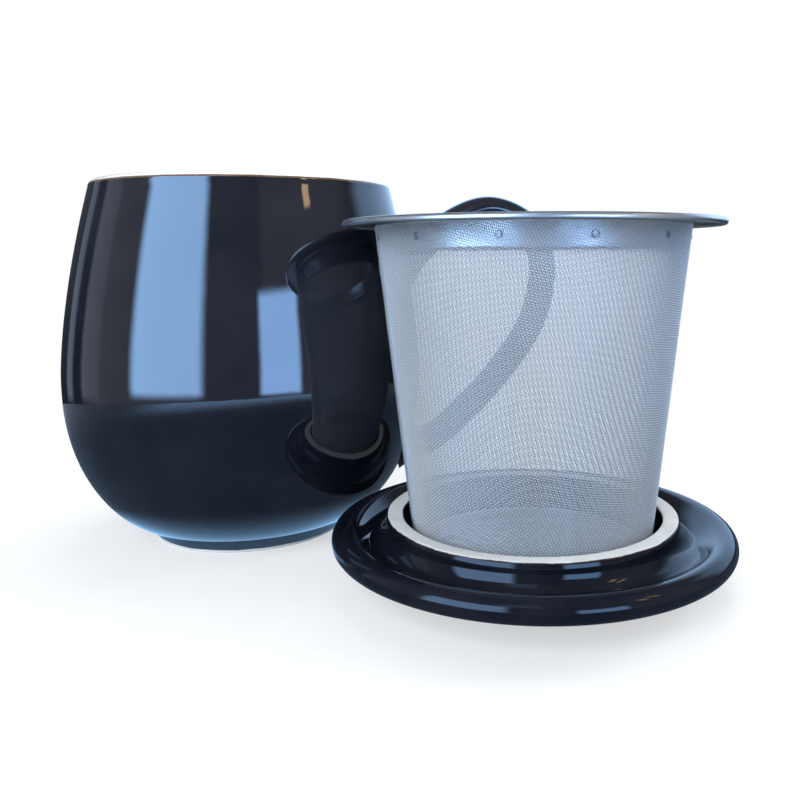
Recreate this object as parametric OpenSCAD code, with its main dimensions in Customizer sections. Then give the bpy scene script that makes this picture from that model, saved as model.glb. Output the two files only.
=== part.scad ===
// Tea mug with a wire cloth infuser and a loose lid, laid out on a table.
// The mug stands at the origin. The lid lies upside down beside it, and the
// infuser stands in the ring on the lid's underside.
// Millimetres, +Z up. The origin is the middle of the mug's foot, on the table.

/* [Mug] */
// Height of the mug, table to lip
mug_h = 93; // [84:1:110]
// Outside diameter at the belly
belly_d = 93.6; // [88:0.4:104]
// Height of the belly above the table
belly_z = 43; // [36:1:48]
// Outside diameter at the lip
lip_d = 78.6; // [74:0.2:84]
// Thickness of the wall
wall_t = 3.6; // [3:0.1:4.4]
// Thickness of the floor above the foot's hollow
floor_t = 5; // [4:0.5:8]
// Outside diameter of the foot ring
foot_d = 50.6; // [44:0.2:54]
// Height of the foot ring
foot_h = 3.8; // [2.5:0.1:5]
// Width of the bare clay that the mug stands on
foot_w = 3.6; // [2.5:0.1:6]
// Depth of the hollow inside the foot ring
foot_hollow = 1.8; // [1:0.1:2.4]
// How far the body stands out over the foot ring
foot_ledge = 3.6; // [2:0.1:5]

/* [Handle] */
// Room between the belly and the middle of the handle's band
handle_reach = 35.8; // [28:0.2:42]
// Drop from the lip to the middle of the band at its highest place
handle_drop = 6.4; // [5:0.2:14]
// Height of the middle of the lower root
handle_root_z = 18; // [14:0.5:24]
// Thickness of the band
handle_t = 7.2; // [5:0.1:9]
// Width of the band
handle_w = 12; // [9:0.5:14]
// How much the band grows where it meets the mug, as a share
handle_flare = 0.35; // [0:0.05:0.6]
// Direction of the handle, in degrees from +X towards +Y
handle_az = 8; // [8:1:60]

/* [Infuser] */
// Room under the infuser when it hangs in the mug
basket_clear = 10.3; // [6:0.1:24]
// Gap all round between the wire cloth and the mug's mouth
basket_gap = 0.9; // [0.6:0.1:3]
// How far the flange reaches past the mug's lip
flange_reach = 2.5; // [1:0.1:5]
// Thickness of the steel sheet
sheet_t = 0.5; // [0.4:0.05:0.8]
// Radius of the flange's rolled edge
curl_r = 0.8; // [0.6:0.05:1.2]
// Depth of the drawn collar below the top of the flange
collar_h = 6.5; // [4:0.1:10]
// Thickness of the wire cloth
cloth_t = 0.4; // [0.3:0.05:0.6]
// Number of openings round the cloth, a coarse stand-in for its fine ones
open_cols = 16; // [8:1:24]
// Number of openings up the cloth
open_rows = 6; // [3:1:10]
// Share of each step round and up that is open
open_share = 0.7; // [0.5:0.05:0.8]
// Height of the band inside the foot of the cloth
hoop_h = 2.6; // [1.5:0.1:5]
// Width of the ledge that carries the cloth floor
hoop_ledge = 1.2; // [0.8:0.1:2.5]
// Number of spot welds round the collar
weld_count = 12; // [6:1:24]
// Diameter of a spot weld
weld_d = 1.6; // [1:0.1:2.4]

/* [Lid] */
// How far the lid reaches past the infuser's flange
lid_reach = 3.2; // [1:0.1:6]
// Height of the lid, from its top to the bare edge of its ring
lid_h = 16; // [14:0.2:20]
// Thickness of clay at the middle of the lid
lid_t = 5; // [4:0.2:7]
// Gap all round between the lid's ring and the infuser's collar
ring_gap = 1.3; // [0.8:0.1:2.6]
// Width of the ring's bare edge
ring_w = 3.6; // [2.6:0.1:5]
// Gap all round between the ring and the base of the infuser
seat_gap = 2.7; // [2.4:0.1:5]
// Radius of the lid's rounded rim
rim_r = 2.6; // [2:0.1:3]
// Height of the middle of the rim above the lid's top
rim_z = 11.2; // [10.4:0.1:12]
// Depth of the trough between the ring and the rim
trough_h = 5.6; // [4.4:0.1:6]
// Diameter of the flat on the lid's top
land_d = 49; // [40:1:54]

/* [Layout] */
// Narrowest gap between the mug and what stands beside it
stand_gap = 1.4; // [1:0.1:20]
// Direction of the lid from the mug, in degrees from +X towards -Y
stand_az = 29; // [25:1:80]

/* [Hidden] */
round_fn = 128;
wire_fn = 32;
glaze_black = [0.03, 0.04, 0.07];
bright_steel = [0.78, 0.8, 0.83];
cloth_steel = [0.68, 0.73, 0.8];

belly_r = belly_d / 2;
lip_r = lip_d / 2;
foot_r = foot_d / 2;
lip_round = wall_t / 2;
lip_z = mug_h - lip_round;
floor_z = foot_hollow + floor_t;
foot_round = 0.7;
foot_lean = 0.2;
foot_cove = 0.6;
kink_z = foot_h + 0.4;
kink_r = foot_r + foot_ledge;
floor_rise = 1;
floor_blend = 3.6;
profile_steps = 12;
// How full the bowl below the belly is, and how late the shoulder above it turns in
bowl_power = [2.3, 0.72];
shoulder_power = 1.6;

// The infuser hangs by its flange on the lip, clear of the mug's floor
basket_h = mug_h + sheet_t - floor_z - basket_clear;

// The infuser's cone, from the mug's mouth down to the lid's ring
cloth_top_r = lip_r - wall_t - basket_gap;
flange_r = lip_r + flange_reach;
flange_z = lid_t + basket_h;
cloth_top_z = flange_z - sheet_t - curl_r;
cloth_foot_z = lid_t + sheet_t;
collar_z = flange_z - collar_h;
collar_bead_r = 0.6;
weld_rise = 0.42;
weld_z = collar_z + collar_h * weld_rise;
weld_proud = 0.15;
bend_w = 0.8;
hoop_edge = 0.2;
hoop_lip = 0.1;

// The cloth is plain where the hoop and the collar hold it, and open between them
plain_edge = 1;
open_low = cloth_foot_z + hoop_h + plain_edge;
open_high = collar_z - plain_edge;
open_step = (open_high - open_low) / open_rows;

// The lid lies upside down, so its ring stands up from the table
lid_r = flange_r + lid_reach;
ring_r = cloth_top_r - cloth_t - sheet_t - ring_gap;
ring_bore_r = ring_r - ring_w;
base_r = ring_bore_r - seat_gap;
seat_fillet = seat_gap - 0.5;
edge_round = 0.6;
bare_lean = 0.3;
bare_h = 1.2;
rim_mid_r = lid_r - rim_r;
rim_fall = [1.6, 0.3];
trough_z = lid_h - trough_h;
trough_spread = 0.72;
trough_r = ring_r + trough_h * trough_spread;
dome_power = 0.92;

cone_slope = (cloth_top_r - base_r) / (cloth_top_z - cloth_foot_z);

// The lid stands clear of the mug both at its rim and at the infuser's flange
spacing = stand_gap + max(flange_r + mug_r(flange_z), lid_r + mug_r(rim_z), rim_mid_r + mug_r(rim_z + rim_r));
lid_at = [spacing * cos(stand_az), -spacing * sin(stand_az), 0];

// Outside radius of the mug at height z, from the foot's ledge to the lip
function mug_r(z) =
    z < belly_z
    ? let (t = (belly_z - max(z, kink_z)) / (belly_z - kink_z))
      kink_r + (belly_r - kink_r) * pow(1 - pow(t, bowl_power[0]), bowl_power[1])
    : let (s = (min(z, lip_z) - belly_z) / (lip_z - belly_z))
      belly_r - (belly_r - lip_r) * pow(s, shoulder_power);

// Inside radius of the mug at height z, the wall measured square to its face
function bore_r(z) =
    let (dz = 0.05, slope = (mug_r(z + dz) - mug_r(z - dz)) / (2 * dz))
    mug_r(z) - wall_t * sqrt(1 + slope * slope);

// Outside radius of the infuser's cloth at height z
function cloth_r(z) = base_r + cone_slope * (z - cloth_foot_z);

// Points of an arc, from angle a to angle b
function arc(c, r, a, b, steps) =
    [for (i = [0 : steps]) let (w = a + (b - a) * i / steps) c + r * [cos(w), sin(w)]];

// Heights from a to b, closer together near a
crowding = 1.4;
function heights(a, b, steps) = [for (i = [0 : steps]) a + (b - a) * pow(i / steps, crowding)];

outer_profile = concat(
    [for (z = heights(kink_z, belly_z, profile_steps)) [mug_r(z), z]],
    [for (i = [1 : profile_steps]) let (z = belly_z + (lip_z - belly_z) * i / profile_steps) [mug_r(z), z]]
);

foot_profile = [
    [foot_r - foot_round, 0],
    [foot_r, foot_round],
    [foot_r + foot_lean, foot_h - foot_cove],
    [foot_r + foot_lean + foot_cove, foot_h]
];

module place_lid() {
    translate(lid_at) children();
}

// The mug's outer form, solid to the axis
module mug_blank() {
    rotate_extrude($fn = round_fn)
        polygon(concat([[0, 0]], foot_profile, outer_profile, [[0, lip_z]]));
}

// Mug: one thrown body with its foot ring, walls and rounded lip
module mug_body() {
    lip_mid = [lip_r - lip_round, lip_z];
    bore_steps = 2 * profile_steps;
    bore = [for (z = heights(floor_z, lip_z, bore_steps)) [bore_r(z), z]];
    corner_r = bore_r(floor_z + floor_rise);
    hollow_r = foot_r - foot_w;
    color(glaze_black)
        rotate_extrude($fn = round_fn)
            polygon(concat(
                [[0, foot_hollow], [hollow_r - foot_hollow, foot_hollow], [hollow_r, 0]],
                foot_profile,
                outer_profile,
                arc(lip_mid, lip_round, 20, 160, 8),
                [for (i = [bore_steps : -1 : 1]) bore[i]],
                [[corner_r - 0.45 * floor_blend, floor_z + 0.3 * floor_rise]],
                [[corner_r - floor_blend, floor_z], [0, floor_z]]
            ));
}

// The handle's middle line, as shares of its reach and of its height
handle_line = [
    [-0.25, 0.7], [0.02, 0.83], [0.285, 0.953], [0.59, 1], [0.89, 0.925], [1, 0.757],
    [0.915, 0.535], [0.66, 0.335], [0.375, 0.175], [0.1, 0.055], [-0.2, 0.01]
];
handle_top_z = mug_h - handle_drop;
handle_pts = [for (p = handle_line)
    [belly_r + handle_reach * p[0], handle_root_z + (handle_top_z - handle_root_z) * p[1]]];
handle_steps = 4;
handle_sides = 16;
flare_power = 6;

// A smooth curve through four points, t of the way from the second to the third
function smooth_at(a, b, c, d, t) =
    0.5 * ((2 * b) + (c - a) * t + (2 * a - 5 * b + 4 * c - d) * t * t + (3 * b - a - 3 * c + d) * t * t * t);

handle_last = len(handle_pts) - 1;
handle_curve = concat(
    [for (i = [0 : handle_last - 1], j = [0 : handle_steps - 1])
        smooth_at(handle_pts[max(i - 1, 0)], handle_pts[i], handle_pts[i + 1],
                  handle_pts[min(i + 2, handle_last)], j / handle_steps)],
    [handle_pts[handle_last]]
);

// Handle: an ear-shaped band luted to the wall, thicker where it meets the mug
module mug_handle() {
    n = len(handle_curve);
    rings = [for (i = [0 : n - 1])
        let (
            tangent = handle_curve[min(i + 1, n - 1)] - handle_curve[max(i - 1, 0)],
            across = [tangent[1], -tangent[0]] / norm(tangent),
            grow = 1 + handle_flare * pow(abs(2 * i / (n - 1) - 1), flare_power)
        )
        for (k = [0 : handle_sides - 1])
            let (
                w = 360 * k / handle_sides,
                p = handle_curve[i] + across * grow * handle_t / 2 * cos(w)
            )
            [p[0], grow * handle_w / 2 * sin(w), p[1]]];
    skin = [for (i = [0 : n - 2], k = [0 : handle_sides - 1])
        let (a = i * handle_sides + k, b = i * handle_sides + (k + 1) % handle_sides)
        [a, b, b + handle_sides, a + handle_sides]];
    first_end = [for (k = [handle_sides - 1 : -1 : 0]) k];
    last_end = [for (k = [0 : handle_sides - 1]) (n - 1) * handle_sides + k];
    color(glaze_black)
        difference() {
            rotate([0, 0, handle_az]) polyhedron(points = rings, faces = concat(skin, [first_end, last_end]));
            mug_blank();
        }
}

// Lid: a shallow cap with a rounded rim and a raised ring, upside down
module lid() {
    steps = 6;
    wall_foot = [ring_r + bare_lean, lid_h - bare_h];
    trough = [for (i = [steps : -1 : 1])
        let (w = 90 * i / steps)
        [wall_foot[0] + (trough_r - wall_foot[0]) * (1 - cos(w)),
         wall_foot[1] + (trough_z - wall_foot[1]) * sin(w)]];
    under = [for (i = [1 : steps])
        let (s = i / steps)
        [land_d / 2 + (rim_mid_r - land_d / 2) * s, (rim_z - rim_r) * pow(s, dome_power)]];
    color(glaze_black)
        place_lid() rotate_extrude($fn = round_fn)
            polygon(concat(
                [[0, 0], [land_d / 2, 0]],
                under,
                arc([rim_mid_r, rim_z], rim_r, -75, 90, 11),
                [[rim_mid_r - rim_fall[0], rim_z + rim_r - rim_fall[1]]],
                trough,
                [wall_foot],
                [[ring_r, lid_h - edge_round], [ring_r - edge_round, lid_h]],
                [[ring_bore_r + edge_round, lid_h], [ring_bore_r, lid_h - edge_round]],
                arc([ring_bore_r - seat_fillet, lid_t + seat_fillet], seat_fillet, 0, -90, 5),
                [[0, lid_t]]
            ));
}

// Rim flange: one drawn steel ring, with a collar inside the cloth and a rolled edge
module rim_flange() {
    collar_out = cloth_r(cloth_top_z) - cloth_t;
    foot_out = cloth_r(collar_z) - cloth_t;
    curl_mid = [flange_r - curl_r, flange_z - curl_r];
    bead_mid = [foot_out - collar_bead_r, collar_z + collar_bead_r];
    color(bright_steel)
        place_lid() {
            rotate_extrude($fn = round_fn)
                polygon([
                    [foot_out - sheet_t, collar_z],
                    [foot_out, collar_z],
                    [collar_out, cloth_top_z],
                    [collar_out + bend_w / 2, flange_z - sheet_t - bend_w / 8],
                    [collar_out + bend_w, flange_z - sheet_t],
                    [curl_mid[0], flange_z - sheet_t],
                    [curl_mid[0], flange_z],
                    [collar_out + bend_w - sheet_t, flange_z],
                    [collar_out + bend_w / 2 - sheet_t, flange_z - bend_w * 3 / 8],
                    [collar_out - sheet_t, cloth_top_z]
                ]);
            rotate_extrude($fn = round_fn)
                translate(curl_mid) circle(r = curl_r, $fn = wire_fn);
            rotate_extrude($fn = round_fn)
                translate(bead_mid) circle(r = collar_bead_r, $fn = wire_fn);
        }
}

// One opening through the cloth, in the middle of its step round and up
module cloth_opening(col, row) {
    mid_z = open_low + (row + 0.5) * open_step;
    mid_r = cloth_r(mid_z) - cloth_t / 2;
    depth = cloth_t + cone_slope * open_step + 2;
    rotate([0, 0, 360 * col / open_cols])
        translate([mid_r, 0, mid_z])
            cube([depth, open_share * 2 * PI * mid_r / open_cols, open_share * open_step], center = true);
}

// Mesh wall: woven wire cloth rolled to a cone, drawn here as a sheet with a coarse grid of openings
module mesh_wall() {
    color(cloth_steel)
        place_lid() difference() {
            rotate_extrude($fn = round_fn)
                polygon([
                    [base_r - cloth_t, cloth_foot_z],
                    [base_r, cloth_foot_z],
                    [cloth_top_r, cloth_top_z],
                    [cloth_top_r - cloth_t, cloth_top_z]
                ]);
            for (row = [0 : open_rows - 1], col = [0 : open_cols - 1]) cloth_opening(col, row);
        }
}

// Mesh floor: a disc of the same cloth, lying on the hoop's ledge
module mesh_floor() {
    color(cloth_steel)
        place_lid() translate([0, 0, cloth_foot_z])
            cylinder(r = base_r - cloth_t - sheet_t, h = cloth_t, $fn = round_fn);
}

// Base hoop: a steel angle that binds the foot of the cloth and carries its floor
module base_hoop() {
    band_r = base_r - cloth_t;
    band_top = cloth_foot_z + hoop_h;
    color(bright_steel)
        place_lid() rotate_extrude($fn = round_fn)
            polygon([
                [band_r - sheet_t - hoop_ledge, lid_t],
                [base_r - hoop_edge, lid_t],
                [base_r + hoop_lip, lid_t + hoop_edge],
                [base_r + hoop_lip, cloth_foot_z],
                [band_r, cloth_foot_z],
                [band_r + cone_slope * hoop_h, band_top],
                [band_r + cone_slope * hoop_h - sheet_t, band_top],
                [band_r - sheet_t, cloth_foot_z],
                [band_r - sheet_t - hoop_ledge, cloth_foot_z]
            ]);
}

// Collar welds: flattened spots that fix the cloth to the collar
module collar_welds() {
    spot_r = cloth_r(weld_z);
    spot_depth = cloth_t + sheet_t;
    color(bright_steel)
        place_lid() for (i = [0 : weld_count - 1])
            rotate([0, 0, 360 * (i + 0.5) / weld_count])
                translate([spot_r - spot_depth, 0, weld_z])
                    rotate([0, 90, 0]) cylinder(d = weld_d, h = spot_depth + weld_proud, $fn = wire_fn);
}

mug_body();
mug_handle();
lid();
rim_flange();
mesh_wall();
mesh_floor();
base_hoop();
collar_welds();
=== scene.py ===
"""Looks of a glazed tea mug, its loose lid and its wire cloth infuser.

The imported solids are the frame. Every piece that is made here is in the same frame and
rides one of its bodies. Sizes are in millimetres until a mesh is written in metres.
"""

import logging
import math
from dataclasses import dataclass, field
from enum import Enum
from typing import Any

import bpy
import bmesh
from mathutils import Matrix, Vector

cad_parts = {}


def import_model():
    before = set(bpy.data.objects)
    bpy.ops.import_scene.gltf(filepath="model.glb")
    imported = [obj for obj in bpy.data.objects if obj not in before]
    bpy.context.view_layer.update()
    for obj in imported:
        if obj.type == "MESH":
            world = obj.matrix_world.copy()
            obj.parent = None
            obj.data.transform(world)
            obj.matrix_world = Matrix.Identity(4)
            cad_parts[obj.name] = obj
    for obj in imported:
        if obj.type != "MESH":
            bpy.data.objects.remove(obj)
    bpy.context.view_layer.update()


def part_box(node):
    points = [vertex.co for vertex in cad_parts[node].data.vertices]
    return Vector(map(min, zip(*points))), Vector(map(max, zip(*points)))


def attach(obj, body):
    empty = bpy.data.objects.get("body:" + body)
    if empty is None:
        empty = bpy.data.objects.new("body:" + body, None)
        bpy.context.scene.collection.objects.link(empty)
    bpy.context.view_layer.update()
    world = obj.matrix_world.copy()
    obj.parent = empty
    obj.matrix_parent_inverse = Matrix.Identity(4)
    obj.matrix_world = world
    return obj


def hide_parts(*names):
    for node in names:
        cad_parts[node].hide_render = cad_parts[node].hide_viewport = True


MM = 0.001
RUN = "run_mm"
CREST = "crest"
WHITE = (1.0, 1.0, 1.0)
TIP_R = 1e-6
FULL = 360.0
log = logging.getLogger("tea_mug")

Colour = tuple[float, float, float]
Point = tuple[float, float]
Place = tuple[float, float, float]
Wave = tuple[float, float, float]


# ------------ nodes


class Value:
    """An output socket with arithmetic: each operation adds a Math node to its tree."""

    def __init__(self, craft: "Craft", socket: bpy.types.NodeSocket) -> None:
        """Wraps an output socket of the maker's tree."""
        self.craft = craft
        self.socket = socket

    def maths(self, operation: str, *others: "Value | float") -> "Value":
        """Adds a Math node whose first operand is this value."""
        return self.craft.maths(operation, self, *others)

    def __add__(self, other: "Value | float") -> "Value":
        """Adds."""
        return self.maths("ADD", other)

    __radd__ = __add__

    def __sub__(self, other: "Value | float") -> "Value":
        """Subtracts."""
        return self.maths("SUBTRACT", other)

    def __mul__(self, other: "Value | float") -> "Value":
        """Multiplies."""
        return self.maths("MULTIPLY", other)

    def __truediv__(self, other: "Value | float") -> "Value":
        """Divides."""
        return self.maths("DIVIDE", other)

    def ramp(self, low: float, high: float) -> "Value":
        """Rises smoothly from 0 where this value is low to 1 where it is high, which may be less."""
        limits = {"Value": self, "From Min": low, "From Max": high}
        return self.craft.make("ShaderNodeMapRange", {"interpolation_type": "SMOOTHSTEP"}, limits)

    def band(self, low: float, high: float, soft: float) -> "Value":
        """Is 1 between two limits and 0 outside them, with a soft blend at each."""
        return self.ramp(low - soft / 2, low + soft / 2) * self.ramp(high + soft / 2, high - soft / 2)


def rgba(colour: Value | Colour) -> Value | tuple[float, ...]:
    """A colour as a socket takes it."""
    return colour if isinstance(colour, Value) else (*colour, 1)


class Craft:
    """Makes nodes in one shader or geometry tree."""

    def __init__(self, tree: bpy.types.NodeTree) -> None:
        """Starts with the tree as it is."""
        self.tree = tree

    @classmethod
    def of(cls, owner: bpy.types.Material | bpy.types.World) -> "Craft":
        """Clears the nodes of a material or a world.

        Args:
            owner: The material or the world.

        Returns:
            The maker of its new nodes.
        """
        owner.use_nodes = True
        owner.node_tree.nodes.clear()
        return cls(owner.node_tree)

    def make(
        self,
        kind: str,
        settings: dict[str, Any] | None = None,
        sockets: dict[str | int, Any] | None = None,
        out: str | int = 0,
    ) -> Value:
        """Adds a node.

        Args:
            kind: The node's type.
            settings: Its properties, set first.
            sockets: The values or links of its inputs, by name or number.
            out: The output to hand back, by name or number.

        Returns:
            The chosen output.
        """
        node = self.tree.nodes.new(kind)
        for name, value in (settings or {}).items():
            setattr(node, name, value)
        for name, value in (sockets or {}).items():
            for item in value if isinstance(value, list) else [value]:
                if isinstance(item, Value):
                    self.tree.links.new(item.socket, node.inputs[name])
                else:
                    node.inputs[name].default_value = item
        return Value(self, node.outputs[out] if len(node.outputs) else None)

    def shader(self, kind: str, *inputs: Any, **named: Any) -> Value:
        """Adds a shader node, its inputs given in order or by name."""
        return self.make("ShaderNode" + kind, sockets={**dict(enumerate(inputs)), **named})

    def geometry(self, kind: str, *inputs: Any, **named: Any) -> Value:
        """Adds a geometry node, its inputs given in order or by name."""
        return self.make("GeometryNode" + kind, sockets={**dict(enumerate(inputs)), **named})

    def maths(self, operation: str, *operands: Value | float) -> Value:
        """Adds a Math node with its operands in order."""
        return self.make("ShaderNodeMath", {"operation": operation}, dict(enumerate(operands)))

    def vectors(self, operation: str, *operands: Any, out: str = "Vector") -> Value:
        """Adds a Vector Math node with its operands in order."""
        return self.make("ShaderNodeVectorMath", {"operation": operation}, dict(enumerate(operands)), out)

    def length(self, vector: Value) -> Value:
        """The length of a vector."""
        return self.vectors("LENGTH", vector, out="Value")

    def axis(self, place: Value, name: str) -> Value:
        """One part of a vector: X, Y or Z."""
        return self.make("ShaderNodeSeparateXYZ", sockets={"Vector": place}, out=name)

    def carried(self, name: str) -> Value:
        """A number that the mesh carries at each point."""
        return self.make("ShaderNodeAttribute", {"attribute_name": name}, out="Fac")

    def blend(self, share: Value, low: Value | Colour, high: Value | Colour) -> Value:
        """Mixes two colours: the first where the share is 0, the second where it is 1."""
        sockets = {0: share, 6: rgba(low), 7: rgba(high)}
        return self.make("ShaderNodeMix", {"data_type": "RGBA"}, sockets, out=2)

    def emission(self, colour: Value | Colour) -> Value:
        """A plain glow of strength 1."""
        return self.shader("Emission", Color=rgba(colour), Strength=1.0)

    def place_mm(self, centre: Vector = Vector()) -> Value:
        """The place on the piece in millimetres, from a centre that is given in metres."""
        here = self.make("ShaderNodeTexCoord", out="Object")
        return self.shader("Mapping", Vector=here, Location=tuple(-centre / MM), Scale=(1 / MM,) * 3)

    def noise(self, place: Value, pitch: float, detail: float, seed: float) -> Value:
        """A noise around 0.5 of a given grain in millimetres, set apart by its seed."""
        sockets = {"Vector": place, "W": seed, "Scale": 1 / pitch, "Detail": detail}
        return self.make("ShaderNodeTexNoise", {"noise_dimensions": "4D"}, sockets)

    def wander(self, place: Value, wide: Wave, fine: Wave) -> Value:
        """Two noises around zero, each given by its pitch, its swing and its seed."""
        noises = [(self.noise(place, pitch, 2, seed) - 0.5) * swing for pitch, swing, seed in (wide, fine)]
        return noises[0] + noises[1]

    def relief(self, height_mm: Value) -> Value:
        """Turns a height in millimetres into a normal."""
        return self.shader("Bump", Height=height_mm, Distance=MM, Strength=1.0)

    def lines(self, count: Value, steps: Value) -> Value:
        """Repeats a line of points.

        Args:
            count: How many lines there are.
            steps: How many points each has.

        Returns:
            The lines as mesh edges, whose points are in order.
        """
        line, seeds = (self.geometry("MeshLine", Count=number) for number in (steps, count))
        many = self.geometry("InstanceOnPoints", Points=seeds, Instance=line)
        return self.geometry("RealizeInstances", Geometry=many)

    def marked(self, geometry: Value, crest: Value | float) -> Value:
        """Stores at each point how far it stands out: 1 over the other wires, 0 under them. The wire's
        material paints highlight and shade from it.
        """
        return self.geometry("StoreNamedAttribute", Geometry=geometry, Name=CREST, Value=crest)


# ------------ finishes


@dataclass(frozen=True)
class Finish:
    """A material with one Principled shader, whose sockets each finish fills."""

    name: str

    def sockets(self, craft: Craft) -> dict[str, Any]:
        """The shader's sockets: a value or a link for each by name."""
        raise NotImplementedError

    def material(self) -> bpy.types.Material:
        """Builds the material.

        Returns:
            The new material.
        """
        made = bpy.data.materials.new(self.name)
        craft = Craft.of(made)
        shader = craft.make("ShaderNodeBsdfPrincipled", sockets=self.sockets(craft))
        craft.shader("OutputMaterial", Surface=shader)
        return made


@dataclass(frozen=True)
class BlackGlaze(Finish):
    """Near-black glossy glaze that pools a little unevenly."""

    deep: Colour = (0.0035, 0.0045, 0.0085)
    thin: Colour = (0.007, 0.008, 0.012)
    gloss: float = 0.035
    smudge: float = 0.03
    swell: float = 0.032
    ripple: float = 0.004
    ior: float = 1.6

    def glaze(self, craft: Craft, place: Value) -> tuple[Value, Value, Value]:
        """The glaze's colour, roughness and height.

        Args:
            craft: The maker of the material's nodes.
            place: The place on the piece in millimetres.

        Returns:
            The colour, the roughness and the height in millimetres.
        """
        pooled = craft.noise(place, 14, 3, seed=1.0).ramp(0.35, 0.7)
        smudged = craft.noise(place, 9, 4, seed=2.0).ramp(0.5, 0.8)
        height = craft.noise(place, 11, 1, seed=3.0) * self.swell
        height = height + craft.noise(place, 2.2, 1, seed=4.0) * self.ripple
        return craft.blend(pooled, self.deep, self.thin), self.gloss + smudged * self.smudge, height

    def sockets(self, craft: Craft) -> dict[str, Any]:
        """The glaze all over."""
        colour, roughness, height = self.glaze(craft, craft.place_mm())
        return {"Base Color": colour, "Roughness": roughness, "Normal": craft.relief(height), "IOR": self.ior}


@dataclass(frozen=True)
class Clay:
    """Bare fired clay: pale, dry and faintly speckled."""

    pale: Colour = (0.55, 0.545, 0.53)
    warm: Colour = (0.46, 0.44, 0.4)
    speck: Colour = (0.25, 0.21, 0.17)
    roughness: float = 0.72
    grit: float = 0.02

    def colour(self, craft: Craft, place: Value) -> Value:
        """The clay's colour.

        Args:
            craft: The maker of the material's nodes.
            place: The place on the piece in millimetres.

        Returns:
            A colour.
        """
        cloud = craft.noise(place, 3.5, 4, seed=5.0).ramp(0.4, 0.75) * 0.6
        speckled = craft.noise(place, 0.35, 2, seed=6.0).ramp(0.66, 0.74) * 0.45
        return craft.blend(speckled, craft.blend(cloud, self.pale, self.warm), self.speck)


@dataclass(frozen=True)
class WipedGlaze(BlackGlaze):
    """Black glaze with a zone of bare clay."""

    clay: Clay = field(default_factory=Clay)
    coat: float = 0.0
    grit_seed: float = 9.0

    def wiped(
        self, craft: Craft, place: Value, bare: Value, colour: Value, shine: Value, ripple: Value
    ) -> dict[str, Any]:
        """Shows the clay where the glaze is wiped off.

        Args:
            craft: The maker of the material's nodes.
            place: The place on the piece in millimetres.
            bare: 1 where the clay is bare and 0 where it is glazed.
            colour: The colour of the glaze.
            shine: The roughness of the glaze.
            ripple: The height of the glaze.

        Returns:
            A value or a link for each named socket.
        """
        grit = craft.noise(place, 0.25, 2, seed=self.grit_seed) * bare * self.clay.grit
        return {
            "Base Color": craft.blend(bare, colour, self.clay.colour(craft, place)),
            "Roughness": shine + bare * (self.clay.roughness - self.gloss),
            "Normal": craft.relief(ripple + grit - bare * self.coat),
            "IOR": self.ior,
        }


@dataclass(frozen=True)
class MugGlaze(WipedGlaze):
    """Black outside, white inside and over the lip, and bare clay where the foot stands."""

    white: Colour = (0.68, 0.69, 0.7)
    break_line: Colour = (0.13, 0.07, 0.035)
    white_run: float = 1.8
    line_w: float = 0.5
    edge_w: float = 0.16
    line_lap: float = 0.02
    line_share: float = 0.8
    bare_h: float = 0.75
    bare_soft: float = 0.1

    def sockets(self, craft: Craft) -> dict[str, Any]:
        """The zones of glaze, set apart by the run from the top of the lip.

        Args:
            craft: The maker of the material's nodes.

        Returns:
            A value or a link for each named socket.
        """
        place = craft.place_mm()
        wander = craft.wander(place, (6, 0.35, 7.0), (0.8, 0.12, 8.0))
        run = craft.carried(RUN) + wander
        height_z = craft.axis(place, "Z") + wander
        black, shine, ripple = self.glaze(craft, place)
        dark = run.ramp(-self.white_run, -self.white_run - self.edge_w)
        line = run.band(-self.white_run - self.line_w, -self.white_run + self.line_lap, self.edge_w)
        bare = height_z.ramp(self.bare_h + self.bare_soft, self.bare_h - self.bare_soft)
        colour = craft.blend(dark, self.white, black)
        colour = craft.blend(line * self.line_share, colour, self.break_line)
        return self.wiped(craft, place, bare, colour, shine, ripple)


@dataclass(frozen=True)
class LidGlaze(WipedGlaze):
    """Black glaze with the ring's edge wiped bare."""

    centre: Vector = field(default_factory=Vector)
    bare_run: float = 1.7
    bare_soft: float = 0.12
    seam: Colour = (0.09, 0.06, 0.045)
    seam_w: float = 0.22
    seam_soft: float = 0.2
    seam_share: float = 0.6
    ior: float = 1.3
    coat: float = 0.03
    grit_seed: float = 12.0

    def sockets(self, craft: Craft) -> dict[str, Any]:
        """Bare clay near the middle of the ring's edge, where the run is zero.

        Args:
            craft: The maker of the material's nodes.

        Returns:
            A value or a link for each named socket.
        """
        place = craft.place_mm(self.centre)
        run = craft.carried(RUN) + craft.wander(place, (7, 0.7, 10.0), (1.1, 0.25, 11.0))
        far = self.bare_run + self.seam_w
        bare = run.band(-self.bare_run, self.bare_run, self.bare_soft)
        seam = (run.band(-far, far, self.seam_soft) - bare).ramp(0.3, 1.0) * self.seam_share
        black, shine, ripple = self.glaze(craft, place)
        return self.wiped(craft, place, bare, craft.blend(seam, black, self.seam), shine, ripple)


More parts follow.
